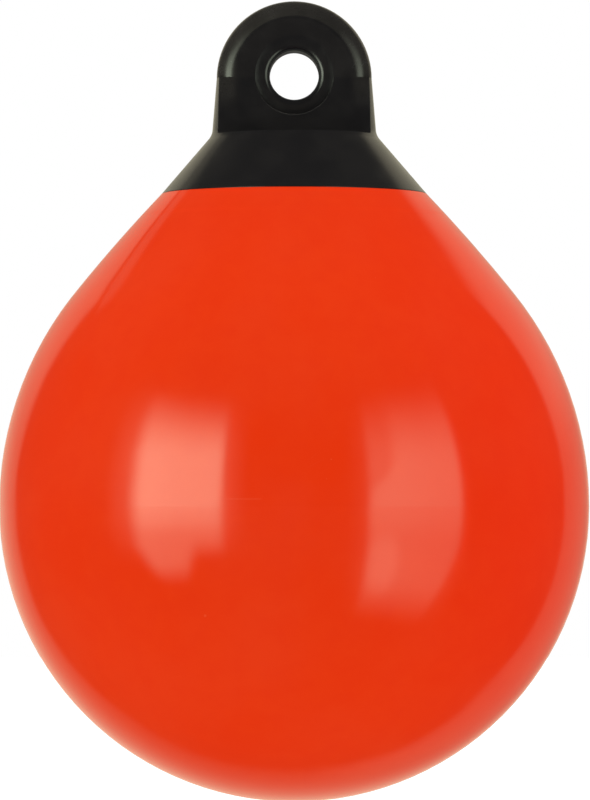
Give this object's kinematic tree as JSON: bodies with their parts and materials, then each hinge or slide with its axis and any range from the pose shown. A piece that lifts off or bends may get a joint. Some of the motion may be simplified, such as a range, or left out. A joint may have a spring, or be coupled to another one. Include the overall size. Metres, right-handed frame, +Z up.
{
  "type": "inflatable ball buoy",
  "caption": "Inflatable ball buoy: pear-topped round skin with a moulded top whose flat lug holds a round rope eye, and a slotted inflation plug on the back of the shoulder.",
  "frame": {"origin": "centre of the rope eye, in the middle of the lug", "axes": "+X across the lug, +Y along the eye's bore towards the side with the inflation valve, +Z up from the ball to the lug"},
  "size_m": [0.2999, 0.3, 0.4075],
  "materials": {
    "skin": "glossy soft PVC",
    "moulding": "satin PVC",
    "insert": "natural nylon",
    "seal": "matte",
    "plug": "satin"
  },
  "bodies": {
    "buoy": {"ball_shell": "skin", "rope_hold": "moulding", "valve_body": "insert"},
    "seal": {"valve_seal": "seal"},
    "plug": {"valve_screw": "plug"}
  },
  "joints": [
    {"name": "valve_lift", "type": "slide", "parent": "buoy", "child": "seal", "axis": [0, 0.7589, 0.6512], "range_m": [0, 0.01]},
    {"name": "valve_turn", "type": "hinge", "parent": "seal", "child": "plug", "pos_m": [0, 0.05591, -0.04422], "axis": [0, 0.7589, 0.6512], "range_deg": [0, 1800]}
  ],
  "couplings": [
    {"joint": "valve_turn", "follows": "valve_lift", "rad_per_m": 3141.6}
  ]
}
